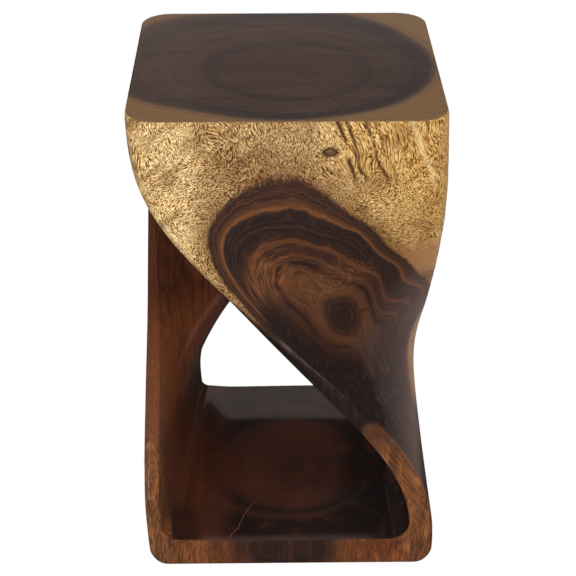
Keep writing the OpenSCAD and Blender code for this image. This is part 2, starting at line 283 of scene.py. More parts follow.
# swellings of the heartwood: direction in degrees, height, widths of both, and how far it swells
SWELL = ((-110, 400, 16, 60, 6.5), (-85, 445, 16, 50, -3), (-60, 395, 14, 50, 8),
         (45, 508, 45, 120, -16), (125, 508, 40, 120, -7), (-115, 508, 25, 45, -6),
         (-75, 10, 40, 120, 6.5))
# local pulls on the rings: place, and by how much they are drawn in
PULLS = ((-72, -148, 380, -7), (-60, -148, 335, -2), (-30, -149, 300, 5), (-50, -148, 425, 2),
         (-10, -150, 495, 11), (35, -145, 430, -5), (30, -132, 375, 9), (0, -133, 330, -14),
         (75, -105, 335, 17), (105, -95, 345, -10), (100, -65, 285, 18), (60, -100, 275, -18),
         (35, -115, 285, 10), (85, -65, 265, 7), (45, -110, 240, 9), (30, -137, 245, -13),
         (140, -60, 300, -6), (45, -135, 508, 10), (90, -125, 380, -8), (-90, -115, 508, 13),
         (-50, -130, 508, 12), (145, 10, 508, 4), (120, 60, 508, 6), (-60, 140, 508, 14),
         (-140, 40, 508, 16), (0, -150, 20, -8), (60, -150, 20, -24), (-60, -150, 20, -14),
         (-142, -112, 155, -34), (-118, -95, 35, -16))
# low on the right: where the heart starts to run out, the front sapwood's top, the heart's ring
RUN_OUT_Z, FRONT_SAP_Z, SMOOTH_RING = 258, 190, 156


def log_ring(x, y, z):
    """Distance from the log's bent core, scaled so that the heartwood ends at HEART_R."""
    pulled = sum(much * np.exp(-((x - px) ** 2 + (y - py) ** 2 + (z - pz) ** 2) / PULL_R ** 2)
                 for px, py, pz, much in PULLS)
    down = 1 - z / BODY_H
    x = x - (PITH_FOOT[0] - PITH_TOP[0]) * down
    y = y - (PITH_FOOT[1] - PITH_TOP[1]) * down
    r = np.hypot(x - PITH_TOP[0], y - PITH_TOP[1])
    # the rings' centres move away from the core as they grow, so the radius is found step by step
    for _ in range(8):
        k = np.clip(r / HEART_R, 0, 1.3)
        cx = mix(PITH_TOP[0], OUTER_CENTRE[0], k) - BOW[0] * k * (1 - k)
        cy = mix(PITH_TOP[1], OUTER_CENTRE[1], k) - BOW[1] * k * (1 - k)
        r = np.hypot(x - cx, y - cy)
    around = np.degrees(np.arctan2(y - OUTER_CENTRE[1], x - OUTER_CENTRE[0]))
    swell = EVEN_SWELL
    for way, height, wide, high, much in SWELL:
        off = (around - way + 180) % 360 - 180
        swell = swell + much * np.exp(-(off / wide) ** 2 - ((z - height) / high) ** 2)
    return r - swell * np.clip(r / HEART_R, 0, 1.2) ** 3 + pulled


def ring_of(p):
    """Ring of each point: low on the right the heart runs out to the edge, between two sapwoods."""
    x, y, z = p[..., 0], p[..., 1], p[..., 2] - LIFT
    # the region: its upper end is wavy on the right side, its brink follows the front edge, and its
    # lower end is wavy towards the back
    wave = 14 * np.sin(y / 15) * ease((y + 50) / 40)
    low_right = ease((x - 35) / 25) * ease((RUN_OUT_Z + wave - z) / 45)
    brink = ease(x / 25) * ease((285 - z) / 40) * ease((z - 185) / 20) * ease((-y - 126) / 10)
    dip = ease((y + 95) / 50) * (16 * np.sin(y / 21 + 0.6) + 6)
    low_right = np.maximum(low_right, brink) * ease((z - 42 - dip) / 35)
    # its rings: dark heartwood high up, with sapwood at the front edge and on the side lower down
    front_sap = ease((-y - 132) / 18) * ease((FRONT_SAP_Z - z) / 24) * ease((x - 70) / 12)
    side_sap = ease((y + 48 - 0.012 * (z - 140) ** 2 - 3 * np.sin(z / 11)) / 60)
    low = SMOOTH_RING + 30 * np.maximum(front_sap, side_sap)
    high = mix(np.minimum(147 + 0.55 * (y + 27), 162), SMOOTH_RING, ease((-y - 85) / 30))
    flow = mix(low, high, ease((z - FRONT_SAP_Z) / 40))
    return mix(log_ring(x, y, z), flow, low_right)


# Meshes
def mesh(name, points, faces, rings=None, smooth=True):
    """A mesh in metres from points in millimetres, with the ring of each point if given."""
    data = bpy.data.meshes.new(name)
    data.from_pydata((np.asarray(points) / 1000).tolist(), [], faces)
    data.update()
    if smooth:
        data.polygons.foreach_set("use_smooth", [True] * len(data.polygons))
    if rings is not None:
        ring = data.attributes.new("ring", "FLOAT", "POINT")
        ring.data.foreach_set("value", rings.astype("f4"))
    piece = bpy.data.objects.new(name, data)
    bpy.context.scene.collection.objects.link(piece)
    return piece


def carved_table():
    """The whole body as one closed grid, twice round: along the band and across it."""
    grid = by_hand(carved_points())
    count, around = grid.shape[:2]
    i, j = np.meshgrid(np.arange(count), np.arange(around), indexing="ij")
    i2, j2 = (i + 1) % count, (j + 1) % around
    quads = np.stack([i * around + j, i * around + j2, i2 * around + j2, i2 * around + j], -1)
    points = grid.reshape(-1, 3)
    piece = mesh("carved_table", points, quads.reshape(-1, 4).tolist(), ring_of(points))
    even = piece.modifiers.new("even_shading", "WEIGHTED_NORMAL")
    even.keep_sharp = False
    even.weight = 80
    return piece


# points along a ribbon of filler, and how high its sides lie, hidden in the crack
RIBBON_N, SIDES_UP = 60, -0.5


def ribbon(name, way, wide, at_z, proud=0.12):
    """A filled crack: a low ridge of filler along a way, with ends that run out to nothing."""
    way = np.array(way, dtype=float)
    t = np.linspace(0, len(way) - 1, RIBBON_N)
    x = np.interp(t, np.arange(len(way)), way[:, 0])
    y = np.interp(t, np.arange(len(way)), way[:, 1])
    x = x + 0.25 * np.sin(t * 7.1) + 0.15 * np.sin(t * 17.3)
    y = y + 0.25 * np.cos(t * 6.3) + 0.15 * np.sin(t * 13.7)
    s = t / t[-1]
    half = wide / 2 * np.minimum(1, 6 * s + 0.5) * np.clip((1 - s) * 4, 0.12, 1)
    half = half * (1 + 0.3 * np.sin(t * 11))
    dx, dy = np.gradient(x), np.gradient(y)
    n = np.hypot(dx, dy)
    section = ((-1, SIDES_UP), (-0.6, proud * 0.8), (0, proud), (0.6, proud * 0.8), (1, SIDES_UP))
    rows = [np.stack([x - dy / n * half * off, y + dx / n * half * off, at_z + up + 0 * x], -1)
            for off, up in section]
    points = by_hand(np.stack(rows, 1)).reshape(-1, 3)
    wide_n = len(section)
    faces = [(i * wide_n + j, (i + 1) * wide_n + j, (i + 1) * wide_n + j + 1, i * wide_n + j + 1)
             for i in range(RIBBON_N - 1) for j in range(wide_n - 1)]
    return mesh(name, points, faces)


# Materials
# short dark marks on the wide face and in the floor: centre and half sizes in metres
MARKS = (((0.077, -0.081, 0.277), (0.009, 0.02, 0.0022)),
         ((0.115, -0.036, 0.244), (0.006, 0.012, 0.0022)),
         ((0.018, -0.060, 0.037), (0.0022, 0.0022, 0.01)))
# how far the brown halo reaches beyond the heartwood, in mm of the rings
HALO = 26.0


def linear(*rgb):
    """A colour of 0 to 255 per channel as the shaders' linear light."""
    out = []
    for v in rgb:
        c = v / 255
        out.append(c / 12.92 if c <= 0.04045 else ((c + 0.055) / 1.055) ** 2.4)
    return (*out, 1.0)


def ring_stops(rows):
    """Colours of the rings by their distance in mm, for a ramp that spans RING_SPAN."""
    return [(at / RING_SPAN, linear(*rgb)) for at, *rgb in rows]


class Nodes:
    """Short words for building a tree of nodes."""

    def __init__(self, tree):
        self.tree = tree

    def add(self, kind, **settings):
        node = self.tree.nodes.new(kind)
        for key, value in settings.items():
            setattr(node, key, value)
        return node

    def put(self, value, socket):
        if isinstance(value, bpy.types.NodeSocket):
            self.tree.links.new(value, socket)
        else:
            socket.default_value = value

    def place(self):
        return self.add("ShaderNodeTexCoord").outputs["Object"]

    def split(self, vector):
        node = self.add("ShaderNodeSeparateXYZ")
        self.put(vector, node.inputs[0])
        return node.outputs

    def math(self, op, a, b=0.0, c=0.0):
        node = self.add("ShaderNodeMath", operation=op)
        for value, socket in zip((a, b, c), node.inputs):
            self.put(value, socket)
        return node.outputs[0]

    def vec(self, op, a, b=(0, 0, 0)):
        node = self.add("ShaderNodeVectorMath", operation=op)
        self.put(a, node.inputs[0])
        self.put(b, node.inputs[1])
        return node.outputs["Value" if op in ("DOT_PRODUCT", "LENGTH") else 0]

    def all(self, share, *others):
        """The share where every mask holds."""
        for other in others:
            share = self.math("MULTIPLY", share, other)
        return share

    def any(self, share, *others):
        """The share where at least one mask holds."""
        for other in others:
            share = self.math("MAXIMUM", share, other)
        return share

    def noise(self, where, scale, detail=2.0, rough=0.5, colour=False):
        node = self.add("ShaderNodeTexNoise")
        self.put(where, node.inputs["Vector"])
        node.inputs["Scale"].default_value = scale
        node.inputs["Detail"].default_value = detail
        node.inputs["Roughness"].default_value = rough
        return node.outputs["Color" if colour else 0]

    def ramp(self, value, stops, kind="LINEAR"):
        node = self.add("ShaderNodeValToRGB")
        node.color_ramp.interpolation = kind
        points = node.color_ramp.elements
        while len(points) < len(stops):
            points.new(0.5)
        for point, (at, colour) in zip(points, stops):
            point.position = at
            point.color = colour if isinstance(colour, tuple) else (colour, colour, colour, 1)
        self.put(value, node.inputs[0])
        return node.outputs[0]

    def span(self, value, lo, hi, to_lo=0.0, to_hi=1.0, smooth=True):
        """Eases from to_lo at lo to to_hi at hi. Either of lo and hi may be the larger."""
        kind = "SMOOTHSTEP" if smooth else "LINEAR"
        node = self.add("ShaderNodeMapRange", interpolation_type=kind)
        for v, s in zip((value, lo, hi, to_lo, to_hi), node.inputs):
            self.put(v, s)
        return node.outputs[0]

    def blend(self, share, a, b, how="MIX"):
        node = self.add("ShaderNodeMix", data_type="RGBA", blend_type=how)
        node.clamp_factor = True
        self.put(share, node.inputs[0])
        self.put(a, node.inputs[6])
        self.put(b, node.inputs[7])
        return node.outputs[2]

    def grained(self, base, grain, light, dark, within=1.0):
        """Lighter where the grain is high, then darker where it is low.

        light and dark are the grain where that starts and where it is full, its share, and a colour.
        """
        for start, full, much, *rgb in (light, dark):
            share = self.all(within, self.span(grain, start, full, 0.0, much))
            base = self.blend(share, base, linear(*rgb))
        return base

    def shaded(self, share, colour, tint):
        return self.blend(share, colour, (*tint, 1.0), "MULTIPLY")

    def bump(self, height, strength, distance, under=None):
        node = self.add("ShaderNodeBump")
        node.inputs["Strength"].default_value = strength
        node.inputs["Distance"].default_value = distance
        self.put(height, node.inputs["Height"])
        if under is not None:
            self.put(under, node.inputs["Normal"])
        return node.outputs[0]

    def blob(self, place, centre, size):
        """A soft patch: one in its middle, nothing beyond its size."""
        off = self.vec("DIVIDE", self.vec("SUBTRACT", place, centre), size)
        return self.span(self.vec("LENGTH", off), 1.0, 0.25)

    def dashes(self, place, tilt, stretch, scale):
        """Short strokes of grain, stretched along an axis tilted by the given angles."""
        node = self.add("ShaderNodeMapping", vector_type="TEXTURE")
        self.put(place, node.inputs["Vector"])
        node.inputs["Rotation"].default_value = tilt
        return self.noise(self.vec("MULTIPLY", node.outputs[0], (1, 1, stretch)), scale, 2.0, 0.55)

    def shaders(self, share, a, b):
        node = self.add("ShaderNodeMixShader")
        for value, socket in zip((share, a, b), node.inputs):
            self.put(value, socket)
        return node.outputs[0]

    def background(self, colour, strength):
        node = self.add("ShaderNodeBackground")
        self.put(colour, node.inputs[0])
        self.put(strength, node.inputs[1])
        return node.outputs[0]


class Material(Nodes):
    """A new material, built round its own shader."""

    def __init__(self, name):
        self.material = bpy.data.materials.new(name)
        self.material.use_nodes = True
        super().__init__(self.material.node_tree)
        self.shader = self.tree.nodes["Principled BSDF"]

    def set(self, **values):
        for key, value in values.items():
            self.put(value, self.shader.inputs[key.replace("_", " ")])


def drifted_rings(m, place, x, y, z, flat):
    """The rings with a slow drift, and the share of the foot where the sapwood stays away."""
    ring = m.add("ShaderNodeAttribute", attribute_name="ring").outputs["Fac"]
    drift = m.noise(m.vec("MULTIPLY", place, (1, 1, 0.5)), 22, 2.0, 0.5)
    fine_drift = m.noise(m.vec("MULTIPLY", place, (1, 1, 0.25)), 150, 2.0)
    rings = m.math("MULTIPLY_ADD", m.math("SUBTRACT", drift, 0.5), 5.0, ring)
    rings = m.math("MULTIPLY_ADD", m.math("SUBTRACT", fine_drift, 0.5), 2.4, rings)
    # the front left corner of the floor, and the foot's inner right face
    on_floor = m.all(m.span(m.math("ABSOLUTE", x), 0.127, 0.119), m.span(x, -0.08, -0.105),
                     m.span(y, -0.1485, -0.1455), m.span(y, -0.078, -0.105),
                     m.span(z, 0.050, 0.042))
    turned = m.all(m.span(m.split(flat)[0], -0.25, -0.45), m.span(x, 0.085, 0.095),
                   m.span(z, 0.15, 0.12), m.span(y, -0.1490, -0.1465))
    inside = m.any(on_floor, turned)
    capped = m.math("SUBTRACT", m.math("MINIMUM", rings, 150.0), rings)
    return m.math("MULTIPLY_ADD", inside, capped, rings), fine_drift, inside


def plain_heart(m, place, x, z, at, inside, clear):
    """Heartwood of the far walls: brown, with broad fibres along the log."""
    plain = m.ramp(at, ring_stops([
        (0, 112, 56, 32), (90, 112, 56, 31), (112, 98, 50, 30), (130, 92, 48, 30),
        (146, 70, 40, 28), (158, 52, 34, 28), (170, 58, 37, 29), (174, 84, 52, 34)]))
    broad = m.noise(m.vec("MULTIPLY", place, (1, 1, 0.04)), 130, 2.0, 0.55)
    plain = m.grained(plain, broad, (0.50, 0.66, 0.5, 134, 74, 38), (0.50, 0.34, 0.5, 58, 30, 20),
                      clear)
    # the left wall: painted light in the middle of its inner side, which lies in shade; darker above,
    # its edge and its leg
    painted_light_inner_left = m.all(m.span(x, -0.095, -0.115), m.span(z, 0.10, 0.16), m.span(z, 0.26, 0.23),
                       0.4)
    plain = m.blend(painted_light_inner_left, plain, linear(146, 76, 38))
    high_left = m.all(m.span(x, -0.090, -0.110), m.span(z, 0.23, 0.27, 0.0, 0.6))
    plain = m.blend(high_left, plain, linear(56, 30, 21))
    outer_strip = m.all(m.span(x, -0.130, -0.138), m.span(z, 0.20, 0.25, 0.0, 0.55))
    plain = m.blend(outer_strip, plain, linear(92, 50, 30))
    # painted light on the wall behind, seen past the left wall, where the wide face shades it
    behind = m.all(m.span(x, -0.112, -0.100), m.span(x, -0.060, -0.080), m.span(z, 0.09, 0.13),
                   m.span(z, 0.25, 0.21), 0.6)
    plain = m.blend(behind, plain, linear(172, 92, 50))
    left_leg = m.all(m.span(x, -0.118, -0.131), m.span(z, 0.27, 0.15, 0.0, 0.7))
    plain = m.blend(left_leg, plain, linear(110, 70, 48))
    return m.blend(m.all(inside, 0.6), plain, linear(48, 27, 21))


def heartwood(m, place, x, y, z, rings, at, inside, lines, streak):
    """The dark core of the log: banded on the wide face, plain on the far walls."""
    rich = m.ramp(at, ring_stops([
        (0, 70, 39, 25), (95, 66, 37, 24), (105, 54, 32, 25), (112, 40, 27, 23), (116, 62, 39, 28),
        (120, 92, 57, 33), (124, 80, 50, 31), (127, 54, 33, 25), (129, 40, 26, 22),
        (132, 56, 34, 26), (135, 88, 54, 31), (137, 62, 38, 27), (141, 52, 33, 27),
        (143, 60, 37, 27), (145, 96, 57, 33), (147, 60, 37, 27), (149.5, 42, 30, 27),
        (157, 40, 30, 28), (159.5, 48, 34, 29), (160.8, 122, 76, 42), (162.2, 66, 43, 31),
        (165, 60, 40, 30), (168, 52, 35, 28), (170.5, 58, 37, 28), (174, 84, 54, 36)]))
    far_side = m.any(m.all(m.span(y, -0.085, -0.06), m.span(x, 0.03, 0.0)),
                     m.all(m.span(x, -0.05, -0.08), m.span(z, 0.30, 0.26)),
                     m.span(z, 0.12, 0.07))
    # fibres fade out where the left wall turns into the floor
    clear = m.any(m.span(z, 0.050, 0.095, 0.1, 1.0), m.span(x, -0.080, -0.065))
    heart = m.blend(far_side, rich, plain_heart(m, place, x, z, at, inside, clear))
    heart = m.grained(heart, lines, (0.52, 0.72, 0.22, 116, 70, 38), (0.48, 0.28, 0.4, 34, 22, 18))

    # strands that follow the rings round the core of the wide face
    off = m.vec("MULTIPLY", m.vec("SUBTRACT", place, (0.054, 0.0, 0.280)), (1, 0, 1))
    strands = m.add("ShaderNodeCombineXYZ")
    m.put(m.math("MULTIPLY", rings, 1.5), strands.inputs[1])
    around = m.vec("MULTIPLY", m.vec("NORMALIZE", off), (9, 0, 9))
    strand = m.noise(m.vec("ADD", strands.outputs[0], around), 1.0, 3.0, 0.6)
    quiet = m.span(m.math("ABSOLUTE", m.math("SUBTRACT", rings, 154.5)), 3.0, 6.5, 0.35, 1.0)
    near = m.all(m.math("SUBTRACT", 1.0, far_side),
                 m.span(m.vec("LENGTH", off), 0.016, 0.036, 0.15, 1.0))
    bright = m.all(near, quiet, m.span(strand, 0.52, 0.70, 0.0, 0.4))
    heart = m.blend(bright, heart, linear(114, 66, 38))
    heart = m.blend(m.all(near, m.span(strand, 0.48, 0.30, 0.0, 0.5)), heart, linear(32, 21, 18))

    # long fibres, stretched along the log
    fibre = m.noise(m.vec("MULTIPLY", place, (1, 1, 0.05)), 560, 3.0, 0.6)
    weight = m.all(clear, m.math("MULTIPLY_ADD", far_side, 0.6, 0.4))
    heart = m.grained(heart, fibre, (0.52, 0.74, 0.35, 120, 70, 40), (0.48, 0.26, 0.45, 34, 20, 15),
                      weight)

    # where the knife met the heart slantwise it shines orange
    glow = m.any(m.blob(place, (-0.020, -0.140, 0.345), (0.034, 0.06, 0.045)),
                 m.all(m.blob(place, (0.050, -0.115, 0.330), (0.060, 0.06, 0.030)), 0.7))
    heart = m.blend(m.all(glow, m.span(strand, 0.42, 0.62, 0.0, 0.6)), heart, linear(140, 86, 46))

    # low on the right it is smooth and slate brown, with faint streaks down the wall
    low_wall = m.all(m.span(z, 0.262, 0.225), m.span(x, 0.040, 0.075))
    along_edge = m.all(m.span(m.math("ADD", z, x), 0.318, 0.290), m.span(x, -0.035, -0.010))
    base_front = m.all(m.span(z, 0.045, 0.034), m.span(y, -0.130, -0.142), 0.75)
    low_wall = m.any(low_wall, m.all(m.math("SUBTRACT", 1.0, far_side), along_edge), base_front)
    calm = m.ramp(at, ring_stops([
        (100, 60, 36, 27), (130, 54, 34, 26), (150, 40, 29, 26), (164, 38, 28, 26),
        (170, 60, 40, 30), (178, 92, 60, 38)]))
    right = m.span(x, 0.060, 0.100, 0.35, 1.0)
    calm = m.grained(calm, streak, (0.52, 0.70, 0.5, 92, 62, 50), (0.48, 0.30, 0.6, 24, 17, 15), right)
    return m.blend(low_wall, heart, calm)


def sapwood_strokes(m, place, leaning, x, y, z):
    """Short dark strokes, which lean one way here and another way there."""
    steep = m.dashes(leaning, (0.0, -0.42, 0.0), 0.17, 1500)
    level = m.dashes(leaning, (0.0, 1.05, 0.0), 0.19, 1460)
    long = m.dashes(leaning, (0.0, -0.28, 0.0), 0.06, 900)
    long = m.math("MULTIPLY_ADD", long, 0.7, 0.145)
    turn_way = m.noise(m.vec("MULTIPLY", place, (1, 1, 0.8)), 15, 1.0)
    curly = m.any(m.blob(place, (-0.080, -0.150, 0.440), (0.070, 0.06, 0.050)),
                  m.all(m.span(x, 0.045, 0.075), m.span(z, 0.462, 0.440)),
                  m.span(turn_way, 0.56, 0.62))
    dash = m.blend(m.span(curly, 0.4, 0.6), steep, level)
    straight = m.any(m.all(m.span(x, 0.035, 0.06), m.span(z, 0.440, 0.478)),
                     m.span(m.math("ABSOLUTE", x), 0.128, 0.142))
    dash = m.blend(m.all(straight, 0.85), dash, long)
    down_rim = m.dashes(place, (0.0, -0.62, 0.0), 0.10, 520)
    down_rim = m.blend(m.all(m.span(x, 0.03, 0.06), m.span(z, 0.045, 0.07)),
                       m.dashes(place, (0.0, 0.1, 0.0), 0.12, 520), down_rim)
    return m.blend(m.all(m.span(z, 0.22, 0.19), m.span(y, -0.03, -0.07)), dash, down_rim)


def sapwood(m, place, x, y, z, rings, fine_drift, dash, cloud):
    """The golden outer wood of the log, browner low down."""
    sap = m.ramp(dash, [(0.402, linear(250, 226, 173)), (0.467, linear(228, 192, 128)),
                        (0.517, linear(184, 136, 74)), (0.559, linear(106, 68, 34))])
    sap = m.shaded(m.span(cloud, 0.46, 0.72, 0.0, 0.6), sap, (0.48, 0.36, 0.24))
    sap = m.blend(m.span(cloud, 0.44, 0.24, 0.0, 0.3), sap, linear(240, 216, 158))
    sap = m.shaded(m.span(x, -0.02, 0.13), sap, (0.78, 0.68, 0.50))
    brown = m.blob(place, (0.076, -0.145, 0.452), (0.034, 0.06, 0.040))
    sap = m.shaded(m.all(brown, 0.45), sap, (0.5, 0.4, 0.3))
    bands = m.span(m.dashes(place, (0.0, 0.80, 0.0), 0.15, 95), 0.50, 0.62, 0.0, 0.6)
    bands = m.all(m.span(x, -0.005, -0.03), m.span(z, 0.385, 0.41), bands)
    sap = m.shaded(bands, sap, (0.42, 0.31, 0.2))

    # dark vessels and a pale one, running down slantwise from the front edge of the top
    slope = m.math("MULTIPLY_ADD", m.math("SUBTRACT", z, 0.504), 0.32, x)
    slope = m.math("MULTIPLY_ADD", m.math("SUBTRACT", fine_drift, 0.5), 0.006, slope)
    wander = m.noise(m.vec("MULTIPLY", place, (0.3, 0.3, 1)), 55, 1.0)
    slope = m.math("MULTIPLY_ADD", m.math("SUBTRACT", wander, 0.5), 0.010, slope)
    vessels = m.ramp(m.math("MULTIPLY_ADD", slope, 10.0, -0.4), [
        (0.0, 0.0), (0.05, 0.05), (0.066, 1.0), (0.088, 0.9), (0.102, 0.0), (0.138, 0.0),
        (0.152, 1.0), (0.168, 0.8), (0.18, 0.0), (0.32, 0.0), (0.34, 0.9), (0.355, 0.8),
        (0.37, 0.0), (0.415, 0.0), (0.44, 0.6), (0.455, 0.0)])
    fade = m.all(m.span(z, 0.438, 0.462), m.span(y, -0.125, -0.14))
    broken = m.noise(m.vec("MULTIPLY", place, (1.2, 1, 0.5)), 75, 1.0)
    broken = m.span(broken, 0.38, 0.54, 0.25, 1.0)
    sap = m.blend(m.all(vessels, fade, broken), sap, linear(70, 40, 22))
    pale = m.span(m.math("ABSOLUTE", m.math("SUBTRACT", slope, 0.119)), 0.004, 0.001)
    sap = m.blend(m.all(pale, fade, 0.3), sap, linear(246, 226, 170))

    # brown halo round the heart, and a smooth patch on the right
    sap = m.shaded(m.span(rings, HEART_R + HALO, HEART_R + 1.0, 0.0, 0.8), sap, (0.36, 0.25, 0.18))
    patch = m.blob(place, (-0.062, -0.150, 0.468), (0.036, 0.06, 0.026))
    sap = m.shaded(m.all(patch, 0.5), sap, (0.46, 0.32, 0.22))
    smooth = m.blob(place, (0.135, -0.085, 0.335), (0.055, 0.09, 0.045))
    sap = m.blend(m.all(smooth, 0.8), sap, linear(164, 116, 72))

    # darker, drawn out wood low down, but for the golden patch on the right side
    bulge = m.math("POWER", m.math("ABSOLUTE", m.math("SUBTRACT", z, 0.14)), 2.0)
    bulge = m.math("MULTIPLY_ADD", bulge, -12.0, y)
    golden = m.all(m.span(x, 0.105, 0.12), m.span(bulge, -0.038, -0.008))
    low = m.all(m.span(z, 0.26, 0.18, 0.0, 0.96), m.math("SUBTRACT", 1.0, golden))
    drawn = m.noise(m.vec("MULTIPLY", place, (1, 1, 0.28)), 150, 2.0, 0.55)
    aged = m.blend(m.span(cloud, 0.35, 0.65),
                   m.ramp(dash, [(0.30, linear(104, 59, 34)), (0.70, linear(80, 44, 28))]),
                   m.ramp(dash, [(0.30, linear(127, 79, 45)), (0.70, linear(95, 55, 33))]))
    aged = m.grained(aged, drawn, (0.50, 0.68, 0.50, 166, 103, 55), (0.48, 0.32, 0.45, 58, 35, 26))
    sap = m.blend(low, sap, aged)
    rim_start = m.span(m.math("ADD", z, m.math("MULTIPLY", dash, 0.03)), 0.150, 0.195)
    sap = m.blend(m.all(m.span(x, 0.050, 0.065), rim_start, low, 0.6), sap, linear(68, 42, 30))
    foot = m.all(m.span(z, 0.055, 0.040), m.span(m.math("ABSOLUTE", x), 0.135, 0.105), 0.9)
    return m.shaded(foot, sap, (0.86, 0.70, 0.62))


def end_wood(m, place, x, y, z, rings, at, lines, cloud):
    """End grain drinks the oil: its rings are broad and dark."""
    ends = m.ramp(at, ring_stops([
        (0, 48, 28, 21), (5, 70, 42, 30), (10, 54, 31, 22), (14, 64, 37, 25), (60, 64, 36, 24),
        (72, 55, 34, 26), (78, 38, 27, 24), (82, 40, 28, 25), (88, 62, 38, 28), (100, 68, 42, 31),
        (108, 52, 34, 29), (114, 72, 46, 34), (126, 52, 36, 30), (133, 68, 45, 34),
        (142, 38, 31, 29), (156, 37, 31, 29), (162, 48, 36, 31), (169, 82, 59, 43),
        (176, 122, 90, 57), (190, 130, 96, 59), (200, 128, 94, 56)]), "EASE")
    ends = m.grained(ends, lines, (0.50, 0.72, 0.3, 86, 56, 40), (0.48, 0.30, 0.4, 30, 24, 23))
    speck = m.noise(m.vec("MULTIPLY", place, (0.35, 1, 1)), 1300, 2.0, 0.6)
    ends = m.grained(ends, speck, (0.52, 0.75, 0.3, 96, 66, 46), (0.46, 0.28, 0.3, 28, 20, 17))
    # the heart is lighter at its left, darker at its right, and scuffed
    heart = m.span(rings, 172.0, 160.0)
    scuff = m.noise(m.vec("MULTIPLY", place, (0.25, 1, 1)), 60, 3.0, 0.6)
    ends = m.blend(m.all(heart, m.span(x, -0.050, -0.125, 0.0, 0.40)), ends, linear(86, 61, 48))
    ends = m.blend(m.all(heart, m.span(x, 0.030, 0.115, 0.0, 0.36)), ends, linear(38, 30, 28))
    ends = m.grained(ends, scuff, (0.50, 0.70, 0.22, 90, 67, 56), (0.50, 0.30, 0.40, 38, 27, 24), heart)
    core = m.blob(place, (0.024, -0.032, 0.512), (0.022, 0.012, 0.02))
    ends = m.blend(m.all(core, m.span(speck, 0.44, 0.60, 0.25, 0.8)), ends, linear(52, 27, 20))

    floor = m.ramp(at, ring_stops([
        (0, 62, 33, 23), (6, 76, 40, 27), (12, 62, 33, 22), (56, 76, 40, 26), (76, 70, 37, 25),
        (84, 50, 29, 22), (89, 40, 25, 20), (94, 48, 29, 22), (101, 68, 39, 26),
        (107, 46, 28, 21), (115, 34, 23, 20), (135, 36, 24, 21), (150, 38, 26, 23),
        (165, 50, 31, 24), (180, 84, 50, 32)]), "EASE")
    # painted shade: the floor darker towards the right, where the fore wall shades it
    floor = m.blend(m.span(x, 0.040, 0.080, 0.0, 0.9), floor, linear(22, 15, 14))
    floor = m.blend(m.span(cloud, 0.50, 0.70, 0.0, 0.4), floor, linear(96, 46, 28))
    # painted light: the floor lighter and redder at its left, where the walls keep the lamps off it
    floor = m.blend(m.span(x, -0.050, -0.085, 0.0, 0.5), floor, linear(100, 54, 38))
    # painted sheen: a grey reflection along the rounded front lip of the floor
    painted_lip_sheen = m.all(m.span(y, -0.136, -0.146), m.span(m.math("ABSOLUTE", x), 0.105, 0.08), 0.4)
    floor = m.blend(painted_lip_sheen, floor, linear(98, 82, 78))
    floor = m.grained(floor, lines, (0.52, 0.72, 0.2, 96, 52, 32), (0.46, 0.30, 0.35, 26, 18, 16))
    return m.blend(m.span(z, 0.30, 0.10), ends, floor)


def marked(m, place, x, streak, colour):
    """A painted highlight along the crease below the wide face, a small knot and a few short marks."""
    # painted highlight: a light grey line along the crease, standing in for the gloss
    painted_crease_highlight = m.vec("SUBTRACT", place, (0.0025, -0.1479, 0.2690))
    painted_crease_highlight = m.vec("LENGTH", m.vec("CROSS_PRODUCT", painted_crease_highlight, (0.691, 0.021, -0.722)))
    painted_crease_highlight = m.all(m.span(painted_crease_highlight, 0.0025, 0.0005), m.span(x, -0.015, 0.0), m.span(x, 0.070, 0.056),
                   m.span(streak, 0.36, 0.56, 0.3, 0.7))
    colour = m.blend(painted_crease_highlight, colour, linear(90, 87, 84))
    knot = m.vec("MULTIPLY", m.vec("SUBTRACT", place, (0.039, -0.150, 0.482)), (1, 0.3, 1.6))
    ragged = m.math("SUBTRACT", m.noise(place, 300, 2.0), 0.5)
    knot = m.math("MULTIPLY_ADD", ragged, 0.003, m.vec("LENGTH", knot))
    eye = m.ramp(m.math("MULTIPLY", knot, 85.0), [
        (0.0, 0.9), (0.22, 0.7), (0.36, 0.9), (0.52, 1.0), (0.66, 0.4), (0.95, 0.0)])
    colour = m.blend(eye, colour, linear(58, 34, 24))
    for centre, size in MARKS:
        colour = m.blend(m.all(m.blob(place, centre, size), 0.75), colour, linear(36, 22, 17))
    return colour


